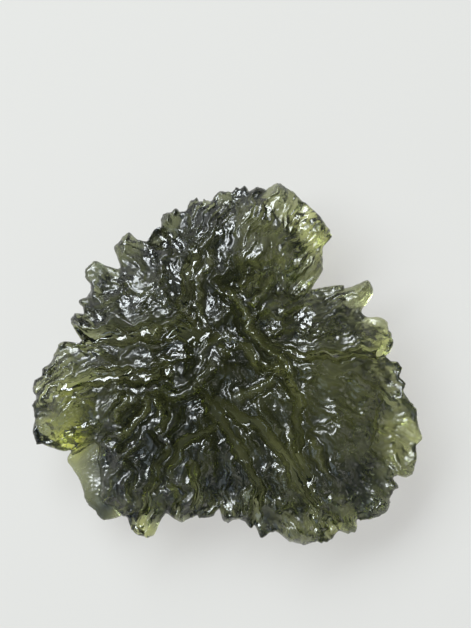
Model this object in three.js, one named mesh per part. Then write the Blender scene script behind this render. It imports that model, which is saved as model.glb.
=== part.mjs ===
// A moldavite: a lump of green natural glass, etched in the ground into grooves, fins and pits.
// It lies on its back with its sculpted face up. Millimetres, +Z up, resting on z = 0.
//
// The stone is two sheets, a face and an underside, that share one jagged rim. Both are heights
// over the same plan: a dome that rises from the rim, with long grooves, thin fins, steps and pits.

import * as THREE from 'three';

// Driving sizes
const domeRise = 3.3; // from the rim up to the top of the face
const domeReach = 10; // how far in from the rim the face still rises
const bellyReach = 6.5; // how far in from the rim the underside still falls
const bellyOverrun = 0.3; // how far the belly would pass below z = 0 before it is worn flat
const rimHeight = 3.5; // height of the rim above the ground
const rimHalfThickness = 0.5;
const rimRounding = 0.35; // how far in from the rim its round edge reaches
const domePower = 1.9; // how much steeper the dome is at its foot than on a cone
const leastThickness = 0.9;
const reliefReach = 1.0; // how far in from the rim the relief still grows
const reliefStart = -0.3; // below 0, so that some relief is left at the rim
const stepEdge = 0.35; // how wide the edge of a step is
const rimWaves = [
  { height: 0.35, turns: 2, shift: 0.6 },
  { height: 0.2, turns: 5, shift: 1.9 },
];

// Mesh
const cells = 48; // cells along each side of the square grid that is wrapped to the outline
const outlineSteps = 900;
const softening = 0.35; // how far round each mesh point its height is averaged
const ringCrowding = 1.2; // above 1, the rings stand closer together near the rim
const calmStep = 0.01; // share of the way round between the points of the calm outline's mean
const calmUntil = 0.4; // reach at which the rings start to take on the teeth of the outline

// Places
const middle = [0.2, 0.4]; // every point of the outline can be seen from here
const flowCentre = [0, 2]; // the grooves and pits spread from here
const restSpot = { at: [0.3, -0.9], radius: 3.1, blend: 0.9 };

// The outline, counter-clockwise from the lower right corner
const outline = [
  // right side, going up
  [13.0, -12.3], [13.4, -11.6], [13.4, -11.0], [13.9, -10.3], [14.1, -10.1], [13.7, -9.4],
  [14.0, -9.2], [14.8, -9.3], [15.3, -8.9], [15.6, -7.5], [15.5, -6.7], [16.0, -6.1],
  [15.7, -5.0], [15.5, -3.7], [15.1, -3.1], [14.4, -2.1], [14.6, -1.6], [14.1, -0.9],
  [14.3, -0.3], [14.0, 0.2], [13.4, 0.3], [13.0, 0.7], [13.2, 0.9], [13.6, 1.8],
  [13.3, 2.8], [13.0, 3.6], [12.5, 3.9], [11.6, 3.9], [11.0, 4.3], [11.6, 5.2],
  [12.0, 6.2], [11.5, 6.9], [10.7, 6.6], [9.7, 6.3], [9.5, 6.5], [8.4, 6.45], [7.6, 6.3],
  // notch and top lobe, going left
  [6.95, 6.2], [7.4, 7.0], [7.8, 7.7], [7.8, 8.8], [7.9, 9.7], [8.3, 10.3], [8.6, 10.5],
  [8.2, 11.3], [7.3, 12.4], [6.2, 13.4], [5.2, 14.3], [4.4, 14.8], [3.9, 14.85],
  [3.2, 14.4], [2.7, 14.6], [2.2, 14.5], [1.8, 14.3], [1.4, 14.7], [1.0, 14.5], [0.7, 14.6],
  [0.4, 14.2], [-0.4, 14.3], [-0.9, 14.1], [-1.4, 13.5], [-1.9, 13.6], [-2.3, 13.4],
  [-2.5, 13.7], [-3.2, 13.3], [-3.4, 12.8], [-3.9, 12.6], [-4.2, 12.9], [-4.6, 12.6],
  [-5.1, 12.5], [-5.5, 12.0], [-5.5, 11.4], [-6.0, 11.1], [-6.6, 10.2],
  // upper left, going down
  [-7.4, 10.3], [-8.2, 10.9], [-8.8, 10.3], [-9.3, 9.7], [-9.1, 8.8], [-8.8, 7.9],
  [-9.9, 8.1], [-10.9, 8.5], [-11.6, 7.9], [-11.7, 7.2], [-11.2, 6.4], [-11.6, 5.6],
  [-12.2, 5.2], [-11.9, 4.6], [-11.8, 4.2], [-12.5, 4.2], [-12.9, 3.8], [-12.8, 3.2],
  [-12.2, 2.3], [-12.0, 1.9],
  // left lobe
  [-13.0, 1.7], [-13.4, 1.9], [-13.8, 1.7], [-14.2, 0.9], [-14.6, 0.1], [-15.2, -0.3],
  [-15.3, -0.9], [-15.9, -1.4], [-16.0, -1.9], [-15.7, -2.8], [-16.0, -3.3], [-15.8, -4.0],
  [-15.9, -5.4], [-15.6, -6.5], [-15.2, -6.5], [-14.3, -6.8], [-13.3, -7.1],
  // thin ledge at the lower left
  [-12.8, -7.0], [-13.3, -7.8], [-13.0, -8.6], [-12.4, -9.4], [-12.0, -10.6], [-11.7, -11.6],
  [-11.2, -12.0], [-10.7, -12.7], [-10.1, -13.0], [-8.9, -12.7],
  // bottom teeth, going right
  [-8.4, -12.5], [-8.0, -13.2], [-7.7, -13.9], [-7.0, -14.2], [-6.1, -14.1], [-5.8, -13.5],
  [-5.4, -12.7], [-5.0, -12.3], [-4.4, -12.7], [-3.8, -13.0], [-2.9, -12.6], [-2.5, -12.5],
  [-2.2, -12.7], [-1.2, -12.5], [-0.7, -11.9], [-0.4, -12.8], [0.0, -13.0], [0.6, -12.8],
  [1.4, -12.9], [1.9, -13.5], [2.2, -13.3], [2.4, -13.5], [2.8, -14.3], [3.7, -13.8],
  [4.3, -13.9], [4.8, -14.4], [5.6, -14.7], [6.5, -14.85], [7.1, -14.6], [7.9, -14.7],
  [8.6, -14.4], [9.2, -13.8], [9.9, -14.0], [10.6, -13.7], [10.7, -13.3], [10.7, -12.8],
  [11.1, -12.9], [12.0, -12.7],
];

// The foot of the thick body where the thin ledge begins. The ledge lies on its right hand.
const ledge = {
  top: 2.7,
  underside: 1.5,
  wall: 0.6, // how far the body's wall leans out over the ledge
  shoulder: 0.3, // how round the body's edge is above that wall
  corner: [-8.1, -5.8], // the ledge lies left of and below this place
  path: [
    [-12.8, -7.0], [-11.6, -6.2], [-10.9, -6.0], [-10.2, -6.5], [-10.2, -7.2], [-10.3, -7.8],
    [-10.1, -8.7], [-10.0, -9.7], [-10.2, -10.8], [-9.8, -11.3], [-9.2, -11.4], [-8.7, -12.0],
    [-8.4, -12.5],
  ],
};

// Long grooves in the face: half width, depth, and how smooth the floor is from 0 to 1
const grooves = [
  // up from the centre, beside the tall fin
  groove(0.7, 1.1, 1, [-2.6, 9.4], [-3.0, 7.9], [-3.3, 6.1], [-3.4, 4.5], [-2.6, 2.8], [-1.3, 2.2]),
  // from the centre out to the right
  groove(0.6, 1.0, 0.8, [2.7, 2.3], [3.9, 1.4], [5.3, 0.9], [7.2, 0.8], [9.7, 0.9], [12.6, 1.0]),
  // down and right of the centre
  groove(0.5, 0.9, 0.8, [0.4, 1.9], [1.4, 1.4], [2.0, 0.5], [2.8, -0.3], [4.0, -0.6], [5.0, -1.0]),
  groove(0.6, 1.0, 1, [4.3, -0.1], [5.2, -1.3], [5.7, -2.7], [5.7, -4.3], [5.6, -5.8], [5.9, -7.4],
    [6.5, -9.2], [7.2, -11.0]),
  groove(0.7, 1.2, 1, [-1.0, -2.8], [0.2, -3.7], [1.5, -4.4], [2.8, -5.1], [3.7, -6.0], [4.5, -7.2],
    [5.3, -8.5], [6.1, -9.8], [6.7, -11.3], [7.0, -13.2]),
  groove(0.7, 1.2, 1, [-2.0, -2.3], [-1.2, -3.2], [-0.5, -4.4], [0.3, -5.7], [1.0, -7.0],
    [1.8, -8.2], [2.4, -9.5], [2.6, -11.1], [2.2, -13.0]),
  // down and left
  groove(0.55, 1.2, 1, [-1.1, -5.1], [-2.3, -5.4], [-3.2, -6.0], [-3.9, -6.8], [-4.3, -7.8],
    [-4.6, -8.8]),
  groove(0.6, 1.3, 1, [-4.9, -6.7], [-5.6, -7.9], [-6.0, -9.1], [-6.3, -10.3], [-6.7, -11.8],
    [-6.9, -13.4]),
  groove(0.5, 1.0, 1, [-4.7, -9.7], [-4.1, -9.9], [-3.8, -10.7], [-4.1, -12.0]),
  groove(0.5, 1.0, 1, [-3.1, -7.7], [-2.6, -8.7], [-2.4, -9.8], [-2.6, -11.6]),
  groove(0.5, 0.8, 0.5, [-5.0, -2.8], [-4.9, -3.7], [-5.3, -5.0]),
  // out to the left
  groove(0.9, 1.2, 1, [-12.2, 2.2], [-10.1, 2.3], [-8.0, 2.4], [-6.0, 2.6], [-3.9, 2.6],
    [-1.9, 2.3]),
  groove(0.8, 1.1, 1, [-13.0, -1.6], [-10.9, -1.1], [-9.3, -0.7], [-7.6, -1.0], [-6.2, -0.8],
    [-4.7, -0.5]),
  // behind the curved fin above the centre
  groove(0.7, 1.0, 0.8, [2.8, 7.9], [2.2, 6.9], [1.5, 6.0]),
];

// Thin fins that stand on the face: half width at the foot, and height
const fins = [
  fin(0.6, 0.6, [-1.4, 9.4], [-1.9, 8.4], [-2.4, 7.4], [-2.7, 6.1], [-2.8, 4.9], [-2.4, 4.0],
    [-2.0, 3.2]),
  fin(0.7, 0.6, [-2.3, -0.3], [-2.1, 0.6], [-1.6, 1.5], [-0.9, 2.1], [-0.1, 2.4], [0.9, 2.3]),
  fin(0.6, 0.5, [4.2, 7.4], [3.3, 6.7], [2.8, 5.9], [2.3, 5.2], [1.8, 4.8]),
  fin(0.6, 0.5, [-6.1, 2.5], [-5.3, 3.1], [-4.6, 3.7], [-3.5, 4.2]),
  fin(0.6, 0.5, [-10.1, -6.0], [-8.8, -5.4], [-7.7, -4.9], [-7.0, -4.1], [-6.5, -3.1],
    [-6.3, -2.3]),
  fin(0.6, 0.4, [4.6, -4.9], [5.1, -6.1], [5.6, -7.4]),
  fin(0.6, 0.4, [6.3, -5.6], [6.8, -6.2], [7.2, -7.0], [7.6, -7.9], [7.8, -8.8]),
  // the long ridge through the centre, and the short ones beside it
  fin(0.7, 0.8, [-0.6, 6.5], [0.4, 5.7], [1.2, 4.7], [1.7, 3.7], [2.0, 2.7], [2.9, 1.8],
    [3.9, 0.8], [4.9, -0.5], [5.5, -1.7], [5.9, -2.7]),
  fin(0.6, 0.5, [0.8, 2.0], [1.6, 1.0], [2.5, 0.0]),
  fin(0.6, 0.4, [0.4, -2.9], [2.3, -1.7], [4.1, -1.1]),
  // the rim of the bowl left of the centre
  fin(0.6, 0.4, [-6.4, -1.7], [-5.6, -2.1], [-4.4, -2.3], [-3.2, -2.2], [-2.3, -1.7],
    [-1.8, -0.9], [-1.4, 0.0], [-1.4, 0.8]),
];

// Steps in the face, each lower on the right hand of its path, by drop, which fades out over reach
const steps = [
  // the long crest left of the centre
  step(0.7, 2.2, [-11.5, -2.2], [-10.1, -1.9], [-8.8, -2.0], [-7.4, -2.0], [-6.4, -1.8],
    [-5.3, -2.0], [-4.1, -2.3], [-2.5, -2.1], [-1.3, -1.6]),
  // the crest in the right half
  step(0.6, 3.0, [6.0, -5.4], [7.0, -4.6], [8.4, -4.4], [10.1, -3.8]),
  // the foot of the thin right edge
  step(1.0, 4.0, [12.9, -9.0], [12.4, -7.9], [11.7, -6.8], [11.7, -5.4], [12.2, -3.7], [12.1, -2.3],
    [11.4, -1.4], [10.2, -0.6]),
  // the layered front of the upper left lump
  step(1.0, 2.0, [-4.6, 8.4], [-5.1, 9.3], [-6.0, 9.5], [-7.2, 10.0]),
  // the crest across the top lobe
  step(0.8, 2.0, [-1.4, 7.2], [0.0, 7.7], [2.0, 8.4], [4.5, 8.9]),
];

// Places where the glass is thinner, or with a negative share thicker, on both sides
const thinPlaces = [
  { at: [6.0, 12.0], radius: 2.6, share: 0.55 },
  { at: [14.0, -6.2], radius: 3.2, share: 0.55 },
  { at: [12.1, 2.4], radius: 1.8, share: 0.5 },
  { at: [-13.2, -5.8], radius: 1.7, share: 0.6 },
  { at: [-6.8, -13.2], radius: 1.3, share: 0.5 },
  { at: [8.0, -13.0], radius: 1.6, share: 0.5 },
  { at: [-5.4, -6.5], radius: 3.0, share: -0.1 },
];

// Pits: distance between neighbours, depth, and how much longer than wide
const facePits = [
  { spacing: 2.3, depth: 0.85, stretch: 1.8, seed: 11 },
  { spacing: 1.1, depth: 0.25, stretch: 2.4, seed: 23 },
];
const bellyPits = [
  { spacing: 2.4, depth: 0.6, stretch: 1.6, seed: 37 },
  { spacing: 1.2, depth: 0.25, stretch: 1.8, seed: 41 },
];

// How much of the pits' depth a smooth groove takes away, and where a pit's floor and crest lie as
// shares of its depth
const pitsInGroove = 0.8;
const pitFloor = -0.4;
const pitCrest = 0.9;
const pitReach = 3; // cells on each side that are searched for the nearest pit
const pitSizes = [0.7, 1.3]; // the smallest and the largest, against the mean

// Low lumps: each is the product of two waves, given as [per mm of x, per mm of y, shift]
const lumps = [
  { height: 0.3, waves: [[0.75, 0.5, 1.1], [-0.3, 0.85, 0.4]] },
  { height: 0.2, waves: [[1.3, -0.7, 2.0], [0.5, 1.1, 0]] },
];

// Waves that bend the plan, so that no groove, fin or pit is even: how far, and one for x and for y
const bends = [
  { reach: 0.18, alongX: [0.9, 2.3, 0], alongY: [2.1, -0.8, 2] },
  { reach: 0.07, alongX: [-3.3, 6.1, 1], alongY: [5.7, 3.9, 0] },
];

// Grooves of the underside: they run out from a bare middle, evenly turned and slightly bent
const bellyFlow = { count: 11, half: 0.7, depth: 0.8, smooth: 0.8, uneven: 0.35, bend: 0.12 };
const bellyRadii = [4.2, 7, 10, 14];
const bellyGrooves = Array.from({ length: bellyFlow.count }, (_, k) => {
  const turn = (k + bellyFlow.uneven * Math.sin(7 * k)) / bellyFlow.count;
  const path = bellyRadii.map((radius, i) => {
    const angle = 2 * Math.PI * turn + bellyFlow.bend * i * Math.sin(3 * k + 1);
    return [radius * Math.cos(angle), radius * Math.sin(angle)];
  });
  return groove(bellyFlow.half, bellyFlow.depth, bellyFlow.smooth, ...path);
});

function groove(half, depth, smooth, ...path) {
  return { half, depth, smooth, path };
}

function fin(half, height, ...path) {
  return { half, height, path };
}

function step(drop, reach, ...path) {
  return { drop, reach, path };
}

function clamp01(t) {
  return Math.min(Math.max(t, 0), 1);
}

function smoothStep(low, high, value) {
  const t = clamp01((value - low) / (high - low));
  return t * t * (3 - 2 * t);
}

function mix(a, b, t) {
  return a + (b - a) * t;
}

// A wave over the plan, given as [per mm of x, per mm of y, shift]
function waveAt(x, y, [alongX, alongY, shift]) {
  return Math.sin(alongX * x + alongY * y + shift);
}

// A repeatable number from 0 to 1 for a cell of the plane: the fraction of a large multiple of a sine
function scatter(i, j, seed) {
  const wave = Math.sin(i * 127.1 + j * 311.7 + seed * 74.7) * 43758.5453;
  return wave - Math.floor(wave);
}

// Nearest point of an open path: its distance, its share of the way along, and the side it is on
function nearestOnPath(x, y, path) {
  let best = { distance: Infinity, along: 0, side: 1 };
  for (let k = 0; k + 1 < path.length; k += 1) {
    const [ax, ay] = path[k];
    const dx = path[k + 1][0] - ax;
    const dy = path[k + 1][1] - ay;
    const t = clamp01(((x - ax) * dx + (y - ay) * dy) / (dx * dx + dy * dy));
    const distance = Math.hypot(x - ax - t * dx, y - ay - t * dy);
    if (distance < best.distance) {
      const side = dx * (y - ay) - dy * (x - ax) > 0 ? 1 : -1;
      best = { distance, along: (k + t) / (path.length - 1), side };
    }
  }
  return best;
}

// Deepest groove at a point: a flat floor between sharp shoulders, fading at the path's two ends
function grooveAt(x, y, list) {
  let depth = 0;
  let smooth = 0;
  for (const groove of list) {
    const near = nearestOnPath(x, y, groove.path);
    const across = near.distance / groove.half;
    const profile = Math.max(1 - across ** 4, 0) * mix(0.35, 1, pathEnds(near.along, 0.12));
    depth = Math.max(depth, groove.depth * profile);
    smooth = Math.max(smooth, groove.smooth * smoothStep(1.2, 0.6, across));
  }
  return { depth, smooth };
}

// 0 at both ends of a path and 1 away from them, rising over a share of its length
function pathEnds(along, share) {
  return smoothStep(0, share, along) * smoothStep(0, share, 1 - along);
}

// Highest fin at a point: two straight flanks that meet in a sharp crest
function finAt(x, y) {
  let height = 0;
  for (const fin of fins) {
    const near = nearestOnPath(x, y, fin.path);
    const flank = Math.max(1 - near.distance / fin.half, 0);
    height = Math.max(height, fin.height * flank * pathEnds(near.along, 0.15));
  }
  return height;
}

// Sum of the steps at a point, each a sharp drop on the right hand of its path
function stepAt(x, y) {
  let drop = 0;
  for (const step of steps) {
    const near = nearestOnPath(x, y, step.path);
    if (near.side < 0) {
      const edge = smoothStep(0, stepEdge, near.distance) * pathEnds(near.along, 0.1);
      drop += step.drop * edge * Math.exp(-((near.distance / step.reach) ** 2));
    }
  }
  return drop;
}

// Pits with sharp crests between them: the squared distance to the nearest seed of a jittered grid,
// measured shorter along the line from the flow centre, so that the pits are long that way
function pitsAt(x, y, pits) {
  const column = Math.floor(x / pits.spacing);
  const row = Math.floor(y / pits.spacing);
  let nearest = Infinity;
  for (let i = column - pitReach; i <= column + pitReach; i += 1) {
    for (let j = row - pitReach; j <= row + pitReach; j += 1) {
      const seedX = (i + scatter(i, j, pits.seed)) * pits.spacing;
      const seedY = (j + scatter(i, j, pits.seed + 1)) * pits.spacing;
      const size = mix(...pitSizes, scatter(i, j, pits.seed + 2));
      const outX = seedX - flowCentre[0];
      const outY = seedY - flowCentre[1];
      const out = Math.hypot(outX, outY) + 0.01;
      const along = ((x - seedX) * outX + (y - seedY) * outY) / out / pits.stretch;
      const across = ((y - seedY) * outX - (x - seedX) * outY) / out;
      nearest = Math.min(nearest, (along * along + across * across) / size);
    }
  }
  return pits.depth * Math.min(pitFloor + nearest / (pits.spacing / 2) ** 2, pitCrest);
}

// The plan, bent by the waves
function warped(x, y) {
  return [
    bends.reduce((sum, bend) => sum + bend.reach * waveAt(x, y, bend.alongX), x),
    bends.reduce((sum, bend) => sum + bend.reach * waveAt(x, y, bend.alongY), y),
  ];
}

// Height of the low lumps, a few millimetres wide
function lumpsAt(x, y) {
  return lumps.reduce((sum, { height, waves }) => (
    sum + height * waveAt(x, y, waves[0]) * waveAt(x, y, waves[1])
  ), 0);
}

// How much of the dome's rise is left where the glass is thin
function fullnessAt(x, y) {
  let fullness = 1;
  for (const place of thinPlaces) {
    const distance = Math.hypot(x - place.at[0], y - place.at[1]);
    fullness *= 1 - place.share * Math.exp(-((distance / place.radius) ** 2));
  }
  return fullness;
}

// The rise of a dome, from 0 at the rim to 1 where the reach is used up
function domeShape(inward, reach) {
  return 1 - (1 - clamp01(inward / reach)) ** domePower;
}

// The outline as a closed smooth curve, and the measure that spreads the mesh along it: half its
// length and half the angle that it turns through, seen from the middle
const smoothOutline = new THREE.CatmullRomCurve3(
  outline.map(([x, y]) => new THREE.Vector3(x, y, 0)), true, 'centripetal',
).getPoints(outlineSteps).map((point) => [point.x, point.y]);

const outlineMeasure = measureOutline(smoothOutline);

function measureOutline(points) {
  const lengths = [0];
  const angles = [0];
  for (let k = 1; k < points.length; k += 1) {
    const [ax, ay] = [points[k - 1][0] - middle[0], points[k - 1][1] - middle[1]];
    const [bx, by] = [points[k][0] - middle[0], points[k][1] - middle[1]];
    lengths.push(lengths[k - 1] + Math.hypot(bx - ax, by - ay));
    angles.push(angles[k - 1] + Math.atan2(ax * by - ay * bx, ax * bx + ay * by));
  }
  return lengths.map((length, k) => length / lengths.at(-1) / 2 + angles[k] / angles.at(-1) / 2);
}

// The point of the outline at a share of the way round
function outlineAt(share) {
  const wrapped = share - Math.floor(share);
  let low = 0;
  let high = smoothOutline.length - 1;
  while (high - low > 1) {
    const centre = (low + high) >> 1;
    if (outlineMeasure[centre] <= wrapped) {
      low = centre;
    } else {
      high = centre;
    }
  }
  const t = (wrapped - outlineMeasure[low]) / (outlineMeasure[high] - outlineMeasure[low]);
  return [0, 1].map((axis) => mix(smoothOutline[low][axis], smoothOutline[high][axis], t));
}

// The outline with its teeth smoothed away, which the inner rings follow
function calmOutlineAt(share) {
  const near = [-4, -3, -2, -1, 0, 1, 2, 3, 4].map((k) => outlineAt(share + calmStep * k));
  return [0, 1].map((axis) => near.reduce((sum, point) => sum + point[axis], 0) / near.length);
}

// The place in plan of a grid point: its ring of the square becomes a ring inside the outline
function planAt(column, row) {
  const a = 2 * column / cells - 1;
  const b = 2 * row / cells - 1;
  const ring = Math.max(Math.abs(a), Math.abs(b));
  if (ring === 0) {
    return [...middle];
  }
  let share;
  if (Math.abs(a) >= Math.abs(b)) {
    share = (a > 0 ? 0 : 2) + (b / a + 1) / 2;
  } else {
    share = (b > 0 ? 1 : 3) + (1 - a / b) / 2;
  }
  const reach = 1 - (1 - ring) ** ringCrowding;
  const calm = calmOutlineAt(share / 4);
  const edge = outlineAt(share / 4);
  const sharpness = smoothStep(calmUntil, 1, reach);
  return [0, 1].map((axis) => mix(middle[axis], mix(calm[axis], edge[axis], sharpness), reach));
}

// The height of the rim, which wanders up and down on the way round
function rimAt(x, y) {
  const angle = Math.atan2(y - middle[1], x - middle[0]);
  return rimWaves.reduce((sum, wave) => (
    sum + wave.height * Math.sin(wave.turns * angle + wave.shift)
  ), rimHeight);
}

// Heights of the face and the underside at a place in plan
function heightsAt(x, y) {
  const toRim = nearestOnPath(x, y, smoothOutline).distance;
  const toLedge = nearestOnPath(x, y, ledge.path);
  const inward = Math.min(toRim, toLedge.distance + ledge.shoulder);
  const rounding = Math.sqrt(1 - (1 - clamp01(toRim / rimRounding)) ** 2);
  const fullness = fullnessAt(x, y);
  const rim = rimAt(x, y);
  const relief = smoothStep(reliefStart, reliefReach, inward);

  const [bentX, bentY] = warped(x, y);
  const cut = grooveAt(bentX, bentY, grooves);
  const facePitting = facePits.reduce((sum, pits) => sum + pitsAt(bentX, bentY, pits), 0);
  let face = rim + rimHalfThickness * rounding + domeRise * fullness * domeShape(inward, domeReach)
    + relief * (lumpsAt(x, y) + facePitting * (1 - pitsInGroove * cut.smooth) - cut.depth
      + finAt(bentX, bentY) - stepAt(bentX, bentY));

  const bellyCut = grooveAt(x, y, bellyGrooves);
  const bellyPitting = bellyPits.reduce((sum, pits) => sum + pitsAt(x, y, pits), 0);
  const bellyFall = rimHeight - rimHalfThickness + bellyOverrun;
  let underside = rim - rimHalfThickness * rounding
    - bellyFall * fullness * domeShape(toRim, bellyReach)
    - relief * (bellyPitting * (1 - pitsInGroove * bellyCut.smooth) - bellyCut.depth);

  const pastLedge = toLedge.side < 0 && x < ledge.corner[0] && y < ledge.corner[1];
  const onLedge = pastLedge ? smoothStep(0, ledge.wall, toLedge.distance) : 0;
  const sheet = (1 + rounding) / 2;
  face = mix(face, mix(ledge.underside, ledge.top, sheet), onLedge);
  underside = mix(underside, mix(ledge.top, ledge.underside, sheet), onLedge);

  const spotDistance = Math.hypot(x - restSpot.at[0], y - restSpot.at[1]);
  const spot = smoothStep(restSpot.radius + restSpot.blend, restSpot.radius, spotDistance);
  underside = Math.max(mix(underside, -bellyOverrun, spot), 0);
  face = Math.max(face, underside + leastThickness * rounding);
  return { face, underside, rim: mix(rim, (ledge.top + ledge.underside) / 2, onLedge) };
}

// The mean of the heights at three by three places, so that a narrow groove doesn't break up
function softHeightsAt(x, y) {
  const sums = { face: 0, underside: 0, rim: 0 };
  const offsets = [-softening, 0, softening];
  for (const dx of offsets) {
    for (const dy of offsets) {
      const heights = heightsAt(x + dx, y + dy);
      for (const sheet of Object.keys(sums)) {
        sums[sheet] += heights[sheet] / offsets.length ** 2;
      }
    }
  }
  return sums;
}

function stoneGeometry() {
  const count = cells + 1;
  const positions = [];
  const faceIndex = [];
  const undersideIndex = [];
  for (let row = 0; row < count; row += 1) {
    for (let column = 0; column < count; column += 1) {
      const [x, y] = planAt(column, row);
      const heights = softHeightsAt(x, y);
      const onRim = row === 0 || column === 0 || row === cells || column === cells;
      faceIndex.push(positions.length / 3);
      undersideIndex.push(positions.length / 3 + (onRim ? 0 : 1));
      if (onRim) {
        positions.push(x, y, heights.rim);
      } else {
        positions.push(x, y, heights.face, x, y, heights.underside);
      }
    }
  }
  const triangles = [];
  for (let row = 0; row < cells; row += 1) {
    for (let column = 0; column < cells; column += 1) {
      const corners = [row * count + column, row * count + column + 1,
        (row + 1) * count + column + 1, (row + 1) * count + column];
      // the diagonal points at the middle, so that no corner triangle lies flat in the rim
      const turn = (row < cells / 2) === (column < cells / 2) ? 0 : 1;
      const [p, q, r, s] = [0, 1, 2, 3].map((k) => corners[(k + turn) % 4]);
      triangles.push(faceIndex[p], faceIndex[q], faceIndex[r], faceIndex[p], faceIndex[r], faceIndex[s]);
      triangles.push(undersideIndex[p], undersideIndex[r], undersideIndex[q]);
      triangles.push(undersideIndex[p], undersideIndex[s], undersideIndex[r]);
    }
  }
  const geometry = new THREE.BufferGeometry();
  geometry.setAttribute('position', new THREE.Float32BufferAttribute(positions, 3));
  geometry.setIndex(triangles);
  geometry.computeVertexNormals();
  return geometry;
}

// The origin is under the middle of the bounding box
function centred(geometry) {
  geometry.computeBoundingBox();
  const box = geometry.boundingBox;
  return geometry.translate(-(box.min.x + box.max.x) / 2, -(box.min.y + box.max.y) / 2, -box.min.z);
}

const glass = new THREE.MeshStandardMaterial({ color: 0x525f33, roughness: 0.25, metalness: 0 });
const moldavite = new THREE.Mesh(centred(stoneGeometry()), glass);
moldavite.name = 'moldavite';

const group = new THREE.Group();
group.add(moldavite);

export default group;
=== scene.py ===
"""A moldavite: a lump of green natural glass with a jagged rim, etched into grooves, fins and pits.

The stone lies on its back with its sculpted face up. Its shape is worked out in millimetres, as two
sheets of heights over one plan: a dome from the rim, with grooves, fins, steps and pits.
"""

import math

import bpy
import numpy as np
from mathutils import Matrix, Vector


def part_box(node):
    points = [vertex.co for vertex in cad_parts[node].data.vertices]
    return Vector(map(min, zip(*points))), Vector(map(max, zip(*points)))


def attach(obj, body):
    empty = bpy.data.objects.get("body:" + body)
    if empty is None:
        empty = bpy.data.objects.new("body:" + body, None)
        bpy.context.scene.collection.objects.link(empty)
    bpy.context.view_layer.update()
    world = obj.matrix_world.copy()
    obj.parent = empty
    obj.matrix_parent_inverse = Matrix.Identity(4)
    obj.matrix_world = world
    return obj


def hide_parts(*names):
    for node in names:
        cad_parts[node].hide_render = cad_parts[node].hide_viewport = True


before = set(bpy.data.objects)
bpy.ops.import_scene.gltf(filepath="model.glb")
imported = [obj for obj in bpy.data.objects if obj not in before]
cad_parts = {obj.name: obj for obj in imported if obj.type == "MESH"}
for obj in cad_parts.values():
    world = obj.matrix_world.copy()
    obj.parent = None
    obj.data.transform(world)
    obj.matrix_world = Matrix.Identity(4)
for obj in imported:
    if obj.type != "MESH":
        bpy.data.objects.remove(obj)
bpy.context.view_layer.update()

MM = 0.001
STONE_LOW, STONE_HIGH = [np.array(corner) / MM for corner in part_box("moldavite")]

# Driving sizes in millimetres
DOME_RISE = 3.3  # from the rim up to the top of the face
DOME_REACH = 10.0  # how far in from the rim the face still rises
BELLY_REACH = 6.5  # how far in from the rim the underside still falls
BELLY_OVERRUN = 0.3  # how far the belly would pass below the ground before it is worn flat
RIM_HEIGHT = 3.5
RIM_HALF_THICKNESS = 0.5
RIM_ROUNDING = 0.35  # how far in from the rim its round edge reaches
LEAST_THICKNESS = 0.7
RELIEF_REACH = 0.7  # how far in from the rim the relief still grows
RELIEF_START = -0.3  # below 0, so that some relief is left at the rim
DOME_POWER = 1.9  # how much steeper the dome is at its foot than a cone
RIM_WAVES = [(0.35, 2, 0.6), (0.2, 5, 1.9)]  # height, turns round the stone, and shift

# Mesh
CELLS = 400  # along each side of the square grid wrapped to the outline
MOST_TRIANGLES = 190000
OUTLINE_STEPS = 6  # points of the smooth outline for each listed one
FINE_TEETH = 0.07  # how far the finest teeth of the rim stand in or out
RING_CROWDING = 1.2  # above 1, the rings stand closer together near the rim
CALM_STEP = 0.01  # share of the way round between the points of the calm outline's mean
CALM_POINTS = 4  # how many such points lie on each side
CALM_UNTIL = 0.4  # reach at which the rings start to take on the teeth of the outline

# Places in plan
MIDDLE = np.array([0.2, 0.4])  # every point of the outline can be seen from here
FLOW_CENTRE = (0, 2)  # the grooves and pits spread from here
REST_SPOT = dict(at=(0.3, -0.9), radius=3.1, blend=0.9)

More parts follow.
